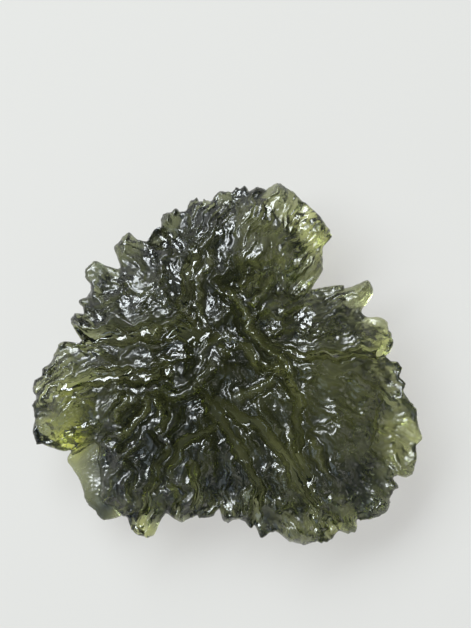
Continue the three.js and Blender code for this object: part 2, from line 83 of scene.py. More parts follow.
# The outline, counter-clockwise from the lower right corner
OUTLINE = np.array([
    # right side, going up
    (13.0, -12.3), (13.4, -11.6), (13.4, -11.0), (13.9, -10.3), (14.1, -10.1), (13.7, -9.4),
    (14.0, -9.2), (14.8, -9.3), (15.3, -8.9), (15.6, -7.5), (15.5, -6.7), (16.0, -6.1),
    (15.7, -5.0), (15.5, -3.7), (15.1, -3.1), (14.4, -2.1), (14.6, -1.6), (14.1, -0.9),
    (14.3, -0.3), (14.0, 0.2), (13.4, 0.3), (13.0, 0.7), (13.2, 0.9), (13.6, 1.8),
    (13.3, 2.8), (13.0, 3.6), (12.5, 3.9), (11.6, 3.9), (11.0, 4.3), (11.6, 5.2),
    (12.0, 6.2), (11.5, 6.9), (10.7, 6.6), (9.7, 6.3), (9.5, 6.5), (8.4, 6.45), (7.6, 6.3),
    # notch and top lobe, going left
    (6.95, 6.2), (7.4, 7.0), (7.8, 7.7), (7.8, 8.8), (7.9, 9.7), (8.3, 10.3), (8.6, 10.5),
    (8.2, 11.3), (7.3, 12.4), (6.2, 13.4), (5.2, 14.3), (4.4, 14.8), (3.9, 14.85),
    (3.2, 14.4), (2.7, 14.6), (2.2, 14.5), (1.8, 14.3), (1.4, 14.7), (1.0, 14.5), (0.7, 14.6),
    (0.4, 14.2), (-0.4, 14.3), (-0.9, 14.1), (-1.4, 13.5), (-1.9, 13.6), (-2.3, 13.4),
    (-2.5, 13.7), (-3.2, 13.3), (-3.4, 12.8), (-3.9, 12.6), (-4.2, 12.9), (-4.6, 12.6),
    (-5.1, 12.5), (-5.5, 12.0), (-5.5, 11.4), (-6.0, 11.1), (-6.6, 10.2),
    # upper left, going down
    (-7.4, 10.3), (-8.2, 10.9), (-8.8, 10.3), (-9.3, 9.7), (-9.1, 8.8), (-8.8, 7.9),
    (-9.9, 8.1), (-10.9, 8.5), (-11.6, 7.9), (-11.7, 7.2), (-11.2, 6.4), (-11.6, 5.6),
    (-12.2, 5.2), (-11.9, 4.6), (-11.8, 4.2), (-12.5, 4.2), (-12.9, 3.8), (-12.8, 3.2),
    (-12.2, 2.3), (-12.0, 1.9),
    # left lobe
    (-13.0, 1.7), (-13.4, 1.9), (-13.8, 1.7), (-14.2, 0.9), (-14.6, 0.1), (-15.2, -0.3),
    (-15.3, -0.9), (-15.9, -1.4), (-16.0, -1.9), (-15.7, -2.8), (-16.0, -3.3), (-15.8, -4.0),
    (-15.9, -5.4), (-15.6, -6.5), (-15.2, -6.5), (-14.3, -6.8), (-13.3, -7.1),
    # thin ledge at the lower left
    (-12.8, -7.0), (-13.3, -7.8), (-13.0, -8.6), (-12.4, -9.4), (-12.0, -10.6), (-11.7, -11.6),
    (-11.2, -12.0), (-10.7, -12.7), (-10.1, -13.0), (-8.9, -12.7),
    # bottom teeth, going right
    (-8.4, -12.5), (-8.0, -13.2), (-7.7, -13.9), (-7.0, -14.2), (-6.1, -14.1), (-5.8, -13.5),
    (-5.4, -12.7), (-5.0, -12.3), (-4.4, -12.7), (-3.8, -13.0), (-2.9, -12.6), (-2.5, -12.5),
    (-2.2, -12.7), (-1.2, -12.5), (-0.7, -11.9), (-0.4, -12.8), (0.0, -13.0), (0.6, -12.8),
    (1.4, -12.9), (1.9, -13.5), (2.2, -13.3), (2.4, -13.5), (2.8, -14.3), (3.7, -13.8),
    (4.3, -13.9), (4.8, -14.4), (5.6, -14.7), (6.5, -14.85), (7.1, -14.6), (7.9, -14.7),
    (8.6, -14.4), (9.2, -13.8), (9.9, -14.0), (10.6, -13.7), (10.7, -13.3), (10.7, -12.8),
    (11.1, -12.9), (12.0, -12.7),
])

# The foot of the thick body where the thin ledge begins. The ledge lies on its right hand.
LEDGE = dict(
    top=2.7,
    underside=1.5,
    wall=0.5,  # how far the body's wall leans out over the ledge
    shoulder=0.3,  # how round the body's edge is above that wall
    corner=(-8.1, -5.8),  # the ledge lies left of and below this place
    path=[
        (-12.8, -7.0), (-11.6, -6.2), (-10.9, -6.0), (-10.2, -6.5), (-10.2, -7.2), (-10.3, -7.8),
        (-10.1, -8.7), (-10.0, -9.7), (-10.2, -10.8), (-9.8, -11.3), (-9.2, -11.4), (-8.7, -12.0),
        (-8.4, -12.5),
    ],
)


def groove(half, depth, smooth, *path):
    """A long groove: its half width, its depth, how smooth its floor is, and its path."""
    return dict(half=half, depth=depth, smooth=smooth, path=path)


def fin(half, height, *path):
    """A thin fin: its half width at the foot, its height and its path."""
    return dict(half=half, height=height, path=path)


def step(drop, reach, *path):
    """A step that is lower on the right hand of its path, by drop, which fades out over reach."""
    return dict(drop=drop, reach=reach, path=path)


GROOVES = [
    # up from the centre, beside the tall fin
    groove(0.6, 1.1, 1, (-2.6, 9.4), (-3.0, 7.9), (-3.3, 6.1), (-3.4, 4.5), (-2.6, 2.8),
           (-1.3, 2.2)),
    # from the centre out to the right
    groove(0.45, 1.0, 0.8, (2.7, 2.3), (3.9, 1.4), (5.3, 0.9), (7.2, 0.8), (9.7, 0.9),
           (12.6, 1.0)),
    # down and right of the centre
    groove(0.4, 0.9, 0.8, (0.4, 1.9), (1.4, 1.4), (2.0, 0.5), (2.8, -0.3), (4.0, -0.6),
           (5.0, -1.0)),
    groove(0.45, 1.0, 1, (4.3, -0.1), (5.2, -1.3), (5.7, -2.7), (5.7, -4.3), (5.6, -5.8),
           (5.9, -7.4), (6.5, -9.2), (7.2, -11.0)),
    groove(0.55, 1.2, 1, (-1.0, -2.8), (0.2, -3.7), (1.5, -4.4), (2.8, -5.1), (3.7, -6.0),
           (4.5, -7.2), (5.3, -8.5), (6.1, -9.8), (6.7, -11.3), (7.0, -13.2)),
    groove(0.5, 1.2, 1, (-2.0, -2.3), (-1.2, -3.2), (-0.5, -4.4), (0.3, -5.7), (1.0, -7.0),
           (1.8, -8.2), (2.4, -9.5), (2.6, -11.1), (2.2, -13.0)),
    # down and left
    groove(0.4, 1.2, 1, (-1.1, -5.1), (-2.3, -5.4), (-3.2, -6.0), (-3.9, -6.8), (-4.3, -7.8),
           (-4.6, -8.8)),
    groove(0.45, 1.3, 1, (-4.9, -6.7), (-5.6, -7.9), (-6.0, -9.1), (-6.3, -10.3), (-6.7, -11.8),
           (-6.9, -13.4)),
    groove(0.35, 1.0, 1, (-4.7, -9.7), (-4.1, -9.9), (-3.8, -10.7), (-4.1, -12.0)),
    groove(0.35, 1.0, 1, (-3.1, -7.7), (-2.6, -8.7), (-2.4, -9.8), (-2.6, -11.6)),
    groove(0.35, 0.8, 0.5, (-5.0, -2.8), (-4.9, -3.7), (-5.3, -5.0)),
    # out to the left
    groove(0.8, 1.2, 1, (-12.2, 2.2), (-10.1, 2.3), (-8.0, 2.4), (-6.0, 2.6), (-3.9, 2.6),
           (-1.9, 2.3)),
    groove(0.7, 1.1, 1, (-13.0, -1.6), (-10.9, -1.1), (-9.3, -0.7), (-7.6, -1.0), (-6.2, -0.8),
           (-4.7, -0.5)),
    # behind the curved fin above the centre
    groove(0.6, 1.0, 0.8, (2.8, 7.9), (2.2, 6.9), (1.5, 6.0)),
]

# Grooves that are narrow, darkened with painted shade
CREVICES = [
    # along the long ridge through the centre
    groove(0.35, 1.0, 1, (-1.2, 6.2), (-0.3, 5.4), (0.5, 4.5), (1.0, 3.6), (1.4, 2.7), (2.4, 1.5),
           (3.3, 0.7), (4.6, -0.8)),
    # left of the arc at the centre
    groove(0.35, 0.9, 1, (-2.9, 1.9), (-3.1, 1.0), (-3.1, 0.1), (-2.8, -0.8), (-2.3, -1.6)),
    # below the crest across the top lobe
    groove(0.4, 0.8, 1, (-0.9, 6.8), (0.4, 7.1), (2.0, 7.7), (3.6, 8.2)),
    # in the dark lump at the lower left
    groove(0.4, 0.9, 1, (-7.6, -3.2), (-8.2, -4.4), (-8.0, -5.6), (-8.8, -6.8)),
    groove(0.35, 0.9, 1, (-6.0, -5.2), (-5.4, -6.4), (-5.6, -7.6), (-5.0, -8.6), (-5.2, -10.0)),
    groove(0.35, 0.9, 1, (-8.4, -7.6), (-7.6, -8.8), (-7.8, -10.2), (-8.0, -11.4)),
    groove(0.3, 0.8, 1, (-3.4, -3.4), (-3.8, -4.6), (-4.6, -5.6)),
]

FINS = [
    fin(0.4, 0.25, (-1.0, 9.4), (-1.5, 8.4), (-2.0, 7.4), (-2.3, 6.1), (-2.4, 4.9), (-2.0, 4.0),
        (-1.6, 3.2)),
    fin(0.4, 0.22, (-2.3, -0.3), (-2.1, 0.6), (-1.6, 1.5), (-0.9, 2.1), (-0.1, 2.4), (0.9, 2.3)),
    fin(0.4, 0.4, (4.2, 7.4), (3.3, 6.7), (2.8, 5.9), (2.3, 5.2), (1.8, 4.8)),
    fin(0.4, 0.35, (-6.1, 2.5), (-5.3, 3.1), (-4.6, 3.7), (-3.5, 4.2)),
    fin(0.4, 0.35, (-10.1, -6.0), (-8.8, -5.4), (-7.7, -4.9), (-7.0, -4.1), (-6.5, -3.1),
        (-6.3, -2.3)),
    fin(0.35, 0.3, (-9.2, -5.1), (-8.8, -3.8), (-8.3, -2.9), (-7.7, -2.6)),
    fin(0.35, 0.3, (-5.7, -2.6), (-5.6, -3.3), (-5.5, -4.2)),
    fin(0.35, 0.3, (4.6, -4.9), (5.1, -6.1), (5.6, -7.4)),
    fin(0.35, 0.3, (6.3, -5.6), (6.8, -6.2), (7.2, -7.0), (7.6, -7.9), (7.8, -8.8)),
    fin(0.35, 0.3, (1.9, -9.4), (1.7, -10.5), (1.6, -11.6), (1.3, -12.5)),
    # the long ridge through the centre, and the short ones beside it
    fin(0.4, 0.55, (-0.6, 6.5), (0.4, 5.7), (1.2, 4.7), (1.7, 3.7), (2.0, 2.7), (2.9, 1.8),
        (3.9, 0.8), (4.9, -0.5), (5.5, -1.7), (5.9, -2.7)),
    fin(0.4, 0.4, (0.8, 2.0), (1.6, 1.0), (2.5, 0.0)),
    fin(0.4, 0.4, (2.7, 0.3), (3.8, -0.3), (4.9, -0.8)),
    fin(0.45, 0.35, (0.4, -2.9), (2.3, -1.7), (4.1, -1.1)),
    fin(0.35, 0.3, (-0.8, 1.6), (-0.1, 1.2), (0.5, 1.2)),
    # the rim of the bowl left of the centre
    fin(0.4, 0.22, (-6.4, -1.7), (-5.6, -2.1), (-4.4, -2.3), (-3.2, -2.2), (-2.3, -1.7),
        (-1.8, -0.9), (-1.4, 0.0), (-1.4, 0.8)),
]

# Combs of fine ribs side by side: middle, radius, angle from +X in degrees, spacing and height
COMBS = [
    ((3.6, 10.6), 3.6, 58, 0.85, 0.4),
    ((6.4, 10.0), 3.2, 42, 0.75, 0.27),
    ((-1.4, 11.8), 2.6, 62, 0.65, 0.3),
    ((8.8, 1.0), 3.2, 4, 0.8, 0.2),
    ((-8.9, -2.8), 1.8, 55, 0.5, 0.22),
    ((-6.0, 4.4), 2.2, 25, 0.6, 0.25),
    ((8.6, -8.2), 3.0, -58, 0.9, 0.2),
    ((-13.8, -1.4), 2.8, 38, 0.7, 0.35),
    ((13.6, -5.6), 2.6, -8, 0.7, 0.12),
    ((8.6, 5.2), 2.2, 20, 0.6, 0.2),
]

STEPS = [
    # the long crest left of the centre
    step(0.7, 2.2, (-11.5, -2.2), (-10.1, -1.9), (-8.8, -2.0), (-7.4, -2.0), (-6.4, -1.8),
         (-5.3, -2.0), (-4.1, -2.3), (-2.5, -2.1), (-1.3, -1.6)),
    # the crest in the right half
    step(0.6, 3.0, (6.0, -5.4), (7.0, -4.6), (8.4, -4.4), (10.1, -3.8)),
    # the foot of the thin right edge
    step(1.0, 4.0, (12.9, -9.0), (12.4, -7.9), (11.7, -6.8), (11.7, -5.4), (12.2, -3.7),
         (12.1, -2.3), (11.4, -1.4), (10.2, -0.6)),
    # the layered front of the upper left lump
    step(1.0, 2.0, (-4.6, 8.4), (-5.1, 9.3), (-6.0, 9.5), (-7.2, 10.0)),
    # the crest across the top lobe
    step(0.8, 2.0, (-1.4, 7.2), (0.0, 7.7), (2.0, 8.4), (4.5, 8.9)),
]

# Places where the glass is thinner, or with a negative share thicker: middle, radius and share
THIN_PLACES = [
    ((6.0, 12.0), 2.6, 0.55),
    ((14.0, -6.2), 3.2, 0.55),
    ((12.1, 2.4), 1.8, 0.5),
    ((-13.2, -5.8), 1.7, 0.3),
    ((-6.8, -13.2), 1.3, 0.5),
    ((8.0, -13.0), 1.6, 0.5),
    ((-5.4, -6.5), 3.0, -0.1),
]

# How light the glass's tint is away from grooves and fins, and where it is lighter or darker: middle,
# radius and share
CLEARNESS = 0.12
CLEARER_PLACES = [
    ((5.6, 11.6), 3.2, 0.52),
    ((7.6, 8.8), 1.8, 0.2),
    ((14.2, -6.4), 2.4, 0.22),
    ((9.5, -1.0), 4.0, 0.18),
    ((12.6, 2.2), 2.0, 0.4),
    ((-14.0, -3.0), 2.8, 0.3),
    ((-13.2, -5.9), 1.7, 0.8),
    ((-6.8, -13.4), 1.0, 0.4),
    ((8.5, -13.2), 1.6, 0.2),
    ((-11.6, -9.6), 2.0, 0.1),
    ((-10.6, -12.2), 1.4, -0.2),
    ((-4.6, -6.6), 4.5, -0.2),
    ((10.2, -9.6), 3.4, -0.12),
    ((2.0, -11.6), 3.5, -0.08),
    ((0.0, 1.0), 4.5, -0.08),
    ((-5.0, 7.0), 4.5, -0.06),
    ((-0.5, 11.0), 4.0, -0.08),
    ((10.3, 3.9), 1.6, 0.3),
]

# Where the pits are shallow and the skin is hazy: middle, radius and share
HAZY_PLACES = [
    ((11.5, 1.0), 3.0, 0.5),
    ((13.0, -4.5), 3.6, 0.4),
    ((10.5, -9.0), 3.0, 0.2),
    ((8.5, -1.5), 2.5, 0.2),
    ((10.3, 4.0), 1.6, 0.6),
    ((-11.6, -10.0), 2.2, 0.6),
]

# Where the glass is yellower: middle, radius and share
WARM_PLACES = [
    ((-12.9, -6.1), 1.4, 1.0),
    ((-12.0, -3.6), 2.5, 0.3),
    ((7.2, 10.8), 2.4, 0.35),
    ((11.4, 5.8), 0.9, 0.4),
    ((12.9, 1.8), 1.5, 0.25),
    ((11.0, -1.2), 3.0, 0.3),
    ((13.8, -6.4), 2.6, 0.45),
    ((8.4, -13.4), 1.4, 0.35),
    ((-6.8, -13.4), 0.9, 0.35),
    ((-10.6, -12.0), 1.6, 0.3),
]

# Pits: distance between neighbours, depth, how much longer than wide, and seed
FACE_PITS = [(2.3, 0.85, 1.8, 11), (1.1, 0.25, 2.4, 23)]
FINE_PITS = (0.5, 0.1, 2.0, 31)
BELLY_PITS = [(2.4, 0.6, 1.6, 37), (1.2, 0.25, 1.8, 41), (0.6, 0.05, 1.4, 43)]
PIT_STEEPNESS = 4
PIT_CREST = 1.3  # where the crests between pits are cut off
PIT_MEAN = 0.4  # taken off, so that pits hardly raise or lower the sheet on the whole
PIT_SEARCH = 3  # cells on each side that are searched for the nearest pit
PIT_SIZES = (0.7, 1.3)  # the smallest and the largest, against the mean

# Waves over the plan: turn along x, turn along y, and shift, each after its size in millimetres
LUMPS = [
    (0.3, (0.75, 0.5, 1.1), (-0.3, 0.85, 0.4)),
    (0.2, (1.3, -0.7, 2.0), (0.5, 1.1, 0)),
]
BENDS_ALONG_X = [(0.18, (0.9, 2.3, 0)), (0.07, (-3.3, 6.1, 1))]
BENDS_ALONG_Y = [(0.18, (2.1, -0.8, 2)), (0.07, (5.7, 3.9, 0))]

# How the forms end and what stands beside them
GROOVE_END = 0.35  # share of a groove's depth that is left at its ends
GROOVE_FADE = 0.12  # share of its length over which it gets there
GROOVE_SMOOTH_FROM = 1.2  # in half widths, where a groove's smoothness starts
GROOVE_SMOOTH_IN = 0.6  # in half widths, where it is full
FIN_FADE = 0.15
STEP_FADE = 0.1
STEP_EDGE = 0.35  # how wide the edge of a step is
MOAT = dict(middle=1.5, width=0.5, depth=0.3)  # middle and width in half widths of its fin
COMB_STEEP = 0.25  # share of a rib's width that its steep side takes up
COMB_FULL = 0.5  # share of a comb's radius inside which its ribs have their full height

# How much shallower the pits are in grooves, in haze, near fins and among ribs
CALM = dict(grooves=0.8, haze=0.6, fins=0.6, combs=0.6, fine_in_grooves=0.7)
FIN_NEARNESS = 3  # how soon a fin's height, in millimetres, calms the pits on it

# Clearer glass in grooves and at the rim; painted light on pit and rib crests and fins, painted shade
# in pit hollows, crevices and moats
CLEARER_AND_PAINTED_LIGHT_ON = dict(pits=0.25, combs=0.5, rim=0.2, grooves=0.2, fins=1.8)
CLEAR_RIM_REACH = 1.5
PAINTED_SHADE_IN = dict(crevices=0.75, moats=0.75)
FIN_POLISH = 1.5  # how soon a fin's height makes it smooth

# Grooves of the underside, and the distances from the middle that each passes through
BELLY_FLOW = dict(count=11, half=0.7, depth=0.8, smooth=0.8, uneven=0.35, bend=0.12, calm=0.8)
BELLY_RADII = (4.2, 7, 10, 14)


def clamp(value):
    """The value kept between 0 and 1."""
    return np.clip(value, 0, 1)


def smooth_step(low, high, value):
    """3t^2 - 2t^3, where t runs from 0 at low to 1 at high."""
    t = clamp((value - low) / (high - low))
    return t * t * (3 - 2 * t)


def mix(a, b, t):
    """a where t is 0, b where t is 1, and a straight line between."""
    return a + (b - a) * t


def scatter(i, j, seed):
    """A repeatable number from 0 to 1 for a cell: the fraction of a large multiple of a sine."""
    wave = np.sin(i * 127.1 + j * 311.7 + seed * 74.7) * 43758.5453
    return wave - np.floor(wave)


def nearest_on_path(x, y, path):
    """Distance to an open path, the share of the way along, and the side: 1 left and -1 right.

    The foot on each straight piece is the point at t = (p - a).d / d.d, kept from 0 to 1.
    """
    path = np.asarray(path, float)
    best = np.full(x.shape, np.inf)
    along = np.zeros(x.shape)
    side = np.ones(x.shape)
    for k, ((ax, ay), (dx, dy)) in enumerate(zip(path[:-1], np.diff(path, axis=0))):
        t = clamp(((x - ax) * dx + (y - ay) * dy) / (dx * dx + dy * dy))
        squared = (x - ax - t * dx) ** 2 + (y - ay - t * dy) ** 2
        nearer = squared < best
        best = np.where(nearer, squared, best)
        along = np.where(nearer, (k + t) / (len(path) - 1), along)
        side = np.where(nearer, np.sign(dx * (y - ay) - dy * (x - ax)), side)
    return np.sqrt(best), along, side


def path_ends(along, share):
    """0 at both ends of a path and 1 away from them, rising over a share of its length."""
    return smooth_step(0, share, along) * smooth_step(0, share, 1 - along)


def groove_at(x, y, grooves):
    """Depth of the deepest groove, 1 - t^4 across its half width, and the smoothness there."""
    depth = np.zeros(x.shape)
    smooth = np.zeros(x.shape)
    for each in grooves:
        distance, along, _ = nearest_on_path(x, y, each["path"])
        across = distance / each["half"]
        ends = mix(GROOVE_END, 1, path_ends(along, GROOVE_FADE))
        depth = np.maximum(depth, each["depth"] * (np.maximum(1 - across ** 4, 0) * ends))
        inside = smooth_step(GROOVE_SMOOTH_FROM, GROOVE_SMOOTH_IN, across)
        smooth = np.maximum(smooth, each["smooth"] * inside)
    return depth, smooth


def fin_at(x, y):
    """Height of the highest fin, 1 - t across its half width, and the share of its moat.

    The moat is a bell curve across the line that runs beside the fin, just outside its foot.
    """
    height = np.zeros(x.shape)
    moat = np.zeros(x.shape)
    for each in FINS:
        distance, along, _ = nearest_on_path(x, y, each["path"])
        across = distance / each["half"]
        ends = path_ends(along, FIN_FADE)
        height = np.maximum(height, each["height"] * np.maximum(1 - across, 0) * ends)
        from_moat = (across - MOAT["middle"]) / MOAT["width"]
        moat = np.maximum(moat, np.exp(-from_moat ** 2) * ends)
    return height, moat


def combs_at(x, y):
    """Height of the ribs side by side, a sawtooth across them, and their share of the surface.

    The sawtooth is steep on the last part of each rib. A comb fades out towards its radius.
    """
    height = np.zeros(x.shape)
    share = np.zeros(x.shape)
    gentle = 1 - COMB_STEEP
    for (px, py), radius, angle, spacing, tall in COMBS:
        turn = math.radians(angle)
        across = ((y - py) * math.cos(turn) - (x - px) * math.sin(turn)) / spacing
        part = across - np.floor(across)
        rib = np.where(part < gentle, 1 - part / gentle, (part - 1 + COMB_STEEP) / COMB_STEEP)
        here = smooth_step(1, COMB_FULL, np.hypot(x - px, y - py) / radius)
        height = mix(height, tall * rib, here)
        share = np.maximum(share, here)
    return height, share


def step_at(x, y):
    """Sum of the steps: on the right hand, a sharp drop that fades as a bell curve."""
    drop = np.zeros(x.shape)
    for each in STEPS:
        distance, along, side = nearest_on_path(x, y, each["path"])
        edge = smooth_step(0, STEP_EDGE, distance) * path_ends(along, STEP_FADE) * (side < 0)
        drop += each["drop"] * edge * np.exp(-((distance / each["reach"]) ** 2))
    return drop


def pits_at(x, y, pits):
    """Pits with sharp crests: the squared distance to the nearest seed of a jittered grid.

    It is measured shorter along the line from the flow centre, so the pits are long that way.
    """
    spacing, depth, stretch, seed = pits
    column = np.floor(x / spacing)
    row = np.floor(y / spacing)
    nearest = np.full(x.shape, np.inf)
    for di in range(-PIT_SEARCH, PIT_SEARCH + 1):
        for dj in range(-PIT_SEARCH, PIT_SEARCH + 1):
            i = column + di
            j = row + dj
            seed_x = (i + scatter(i, j, seed)) * spacing
            seed_y = (j + scatter(i, j, seed + 1)) * spacing
            size = mix(*PIT_SIZES, scatter(i, j, seed + 2))
            out_x = seed_x - FLOW_CENTRE[0]
            out_y = seed_y - FLOW_CENTRE[1]
            out = np.hypot(out_x, out_y) + 0.01  # never zero
            along = ((x - seed_x) * out_x + (y - seed_y) * out_y) / out / stretch
            across = ((y - seed_y) * out_x - (x - seed_x) * out_y) / out
            nearest = np.minimum(nearest, (along ** 2 + across ** 2) / size)
    return depth * (np.minimum(PIT_STEEPNESS * nearest / spacing ** 2, PIT_CREST) - PIT_MEAN)


def wave_at(x, y, wave):
    """A sine that runs in one direction over the plan: sin(turn_x x + turn_y y + shift)."""
    turn_x, turn_y, shift = wave
    return np.sin(turn_x * x + turn_y * y + shift)


def warped(x, y):
    """The plan bent by sines of two sizes, so that no groove or fin runs evenly."""
    bent_x = x
    bent_y = y
    for size, wave in BENDS_ALONG_X:
        bent_x = bent_x + size * wave_at(x, y, wave)
    for size, wave in BENDS_ALONG_Y:
        bent_y = bent_y + size * wave_at(x, y, wave)
    return bent_x, bent_y


def lumps_at(x, y):
    """Low lumps a few millimetres wide: the sum of products of two slanting sines."""
    return sum(size * (wave_at(x, y, first) * wave_at(x, y, second))
               for size, first, second in LUMPS)


def bell_at(x, y, place, radius):
    """A bell curve round a place: e^-(distance / radius)^2."""
    return np.exp(-((x - place[0]) ** 2 + (y - place[1]) ** 2) / radius ** 2)


def fullness_at(x, y):
    """How much of the dome's rise is left: 1 less a bell curve at each thin place, multiplied."""
    fullness = np.ones(x.shape)
    for place, radius, share in THIN_PLACES:
        fullness *= 1 - share * bell_at(x, y, place, radius)
    return fullness


def bells_at(x, y, places):
    """The sum of a bell curve at each place, times the place's share."""
    return sum(share * bell_at(x, y, place, radius) for place, radius, share in places)


def dome_shape(inward, reach):
    """The rise of a dome: 1 - (1 - t)^power, where t is the share of the reach used up."""
    return 1 - (1 - clamp(inward / reach)) ** DOME_POWER


def belly_grooves():
    """Grooves of the underside, which run out from a bare middle.

    Groove k starts at k turns of a full one over the count, moved by a share of sin(7k), and bends
    by sin(3k + 1) more at each distance.
    """
    flow = BELLY_FLOW
    grooves = []
    for k in range(flow["count"]):
        angle = (k + flow["uneven"] * math.sin(7 * k)) * 2 * math.pi / flow["count"]
        path = []
        for i, radius in enumerate(BELLY_RADII):
            bent = angle + flow["bend"] * i * math.sin(3 * k + 1)
            path.append((radius * math.cos(bent), radius * math.sin(bent)))
        grooves.append(groove(flow["half"], flow["depth"], flow["smooth"], *path))
    return grooves


def smooth_outline():
    """The outline as a closed centripetal Catmull-Rom curve through the listed points.

    Knots are the square roots of the chords, and each piece is the nonuniform cubic between its
    middle two points, with tangents from the neighbouring chords.
    """
    p0 = np.roll(OUTLINE, 1, axis=0)[:, None]
    p1 = OUTLINE[:, None]
    p2 = np.roll(OUTLINE, -1, axis=0)[:, None]
    p3 = np.roll(OUTLINE, -2, axis=0)[:, None]
    d0, d1, d2 = [np.linalg.norm(b - a, axis=2, keepdims=True) ** 0.5
                  for a, b in ((p0, p1), (p1, p2), (p2, p3))]
    m1 = d1 * ((p1 - p0) / d0 - (p2 - p0) / (d0 + d1) + (p2 - p1) / d1)
    m2 = d1 * ((p2 - p1) / d1 - (p3 - p1) / (d1 + d2) + (p3 - p2) / d2)
    t = (np.arange(OUTLINE_STEPS) / OUTLINE_STEPS)[None, :, None]
    points = ((2 * t ** 3 - 3 * t ** 2 + 1) * p1 + (t ** 3 - 2 * t ** 2 + t) * m1
              + (3 * t ** 2 - 2 * t ** 3) * p2 + (t ** 3 - t ** 2) * m2).reshape(-1, 2)
    place = np.arange(len(points))
    teeth = FINE_TEETH * (2 * scatter(place // 2, 0, 61) - 1)
    inward = MIDDLE - points
    points += inward / np.linalg.norm(inward, axis=1, keepdims=True) * teeth[:, None]
    return np.vstack([points, points[:1]])


def outline_measure(points):
    """Half the share of the length and half the share of the angle turned through so far."""
    spokes = points - MIDDLE
    chords = np.linalg.norm(np.diff(points, axis=0), axis=1)
    angles = np.unwrap(np.arctan2(spokes[:, 1], spokes[:, 0]))
    lengths = np.concatenate([[0], np.cumsum(chords)])
    return lengths / lengths[-1] / 2 + (angles - angles[0]) / (angles[-1] - angles[0]) / 2


def outline_at(share, points, measure):
    """The point of the outline at a share of the way round."""
    wrapped = share % 1
    return np.stack([np.interp(wrapped, measure, points[:, axis]) for axis in (0, 1)], axis=-1)


def plan_grid(points, measure):
    """Each ring of a square grid becomes a ring inside the outline.

    A point is the middle plus reach times the spoke to the outline, where reach is
    1 - (1 - ring)^crowding, and inner rings follow the outline with its teeth averaged away.
    """
    steps = np.linspace(-1, 1, CELLS + 1)
    a, b = np.meshgrid(steps, steps)
    ring = np.maximum(abs(a), abs(b))
    flat = abs(a) >= abs(b)
    safe_a = np.where(flat & (a != 0), a, 1)
    safe_b = np.where(flat, 1, b)
    share = np.where(flat, np.where(a > 0, 0, 2) + (b / safe_a + 1) / 2,
                     np.where(b > 0, 1, 3) + (1 - a / safe_b) / 2) / 4
    reach = (1 - (1 - ring) ** RING_CROWDING)[..., None]
    edge = outline_at(share, points, measure)
    calm = np.mean([outline_at(share + CALM_STEP * k, points, measure)
                    for k in range(-CALM_POINTS, CALM_POINTS + 1)], axis=0)
    return mix(MIDDLE, mix(calm, edge, smooth_step(CALM_UNTIL, 1, reach)), reach)


def rim_at(x, y):
    """Height of the middle of the rim: a mean height and sines of the angle round the stone."""
    angle = np.arctan2(y - MIDDLE[1], x - MIDDLE[0])
    rim = RIM_HEIGHT
    for height, turns, shift in RIM_WAVES:
        rim = rim + height * np.sin(turns * angle + shift)
    return rim


def face_forms(x, y):
    """The forms on the face, before they fade at the rim, and the sum of their heights.

    Lumps, ribs, pits and fins are added, and the deeper of groove and crevice, the moats and the
    steps are taken away. Pits are shallower in grooves, in haze, near fins and among ribs.
    """
    bent_x, bent_y = warped(x, y)
    cut, smooth = groove_at(bent_x, bent_y, GROOVES)
    crevice, in_crevice = groove_at(bent_x, bent_y, CREVICES)
    fins, moat = fin_at(bent_x, bent_y)
    combs, combed = combs_at(bent_x, bent_y)
    hazy = clamp(bells_at(x, y, HAZY_PLACES))
    near_fin = clamp(FIN_NEARNESS * fins + moat)
    calm = ((1 - CALM["grooves"] * smooth) * (1 - CALM["haze"] * hazy)
            * (1 - CALM["fins"] * near_fin) * (1 - CALM["combs"] * combed))
    pitting = sum(pits_at(bent_x, bent_y, pits) for pits in FACE_PITS)
    fine_pitting = pits_at(bent_x, bent_y, FINE_PITS) * (1 - CALM["fine_in_grooves"] * smooth)
    height = (lumps_at(x, y) + combs * (1 - smooth) + pitting * calm + fine_pitting
              - np.maximum(cut, crevice) + fins - MOAT["depth"] * moat - step_at(bent_x, bent_y))
    return dict(height=height, smooth=smooth, in_crevice=in_crevice, fins=fins, moat=moat,
                combs=combs, pitting=pitting, hazy=hazy)


def looks_of(x, y, to_rim, forms):
    """How etched, clear, hazy and warm, or yellow, the glass is, each from 0 to 1.

    Grooves and the rim are clearer. The clear look also holds painted light and shade: pit crests, rib
    crests and fins are lighter, and pit hollows, the gaps between ribs, crevices and moats are darker.
    """
    near_rim = np.exp(-((to_rim / CLEAR_RIM_REACH) ** 2))
    # Painted light and shade: pit and rib crests lighter, pit hollows and the gaps between ribs
    # darker.
    clear = clamp(CLEARNESS + bells_at(x, y, CLEARER_PLACES) + CLEARER_AND_PAINTED_LIGHT_ON["pits"] * forms["pitting"]
                  + CLEARER_AND_PAINTED_LIGHT_ON["combs"] * forms["combs"] + CLEARER_AND_PAINTED_LIGHT_ON["rim"] * near_rim)
    # Grooves are clearer; crevices and moats are darkened with painted shade.
    clear = (mix(clear, 1, CLEARER_AND_PAINTED_LIGHT_ON["grooves"] * forms["smooth"])
             * (1 - PAINTED_SHADE_IN["crevices"] * forms["in_crevice"])
             * (1 - PAINTED_SHADE_IN["moats"] * forms["moat"]))
    # Painted light on the fins, lighter the higher the fin.
    clear = mix(clear, 1, clamp(CLEARER_AND_PAINTED_LIGHT_ON["fins"] * forms["fins"]))
    smooth = np.maximum(forms["smooth"], clamp(FIN_POLISH * forms["fins"]))
    warm = clamp(bells_at(x, y, WARM_PLACES))
    return dict(etched=1 - smooth, clear=clear, hazy=forms["hazy"], warm=warm)


def belly_forms(x, y):
    """Height of the pits and grooves of the underside, counted downwards."""
    cut, smooth = groove_at(x, y, belly_grooves())
    pitting = sum(pits_at(x, y, pits) for pits in BELLY_PITS)
    return pitting * (1 - BELLY_FLOW["calm"] * smooth) - cut


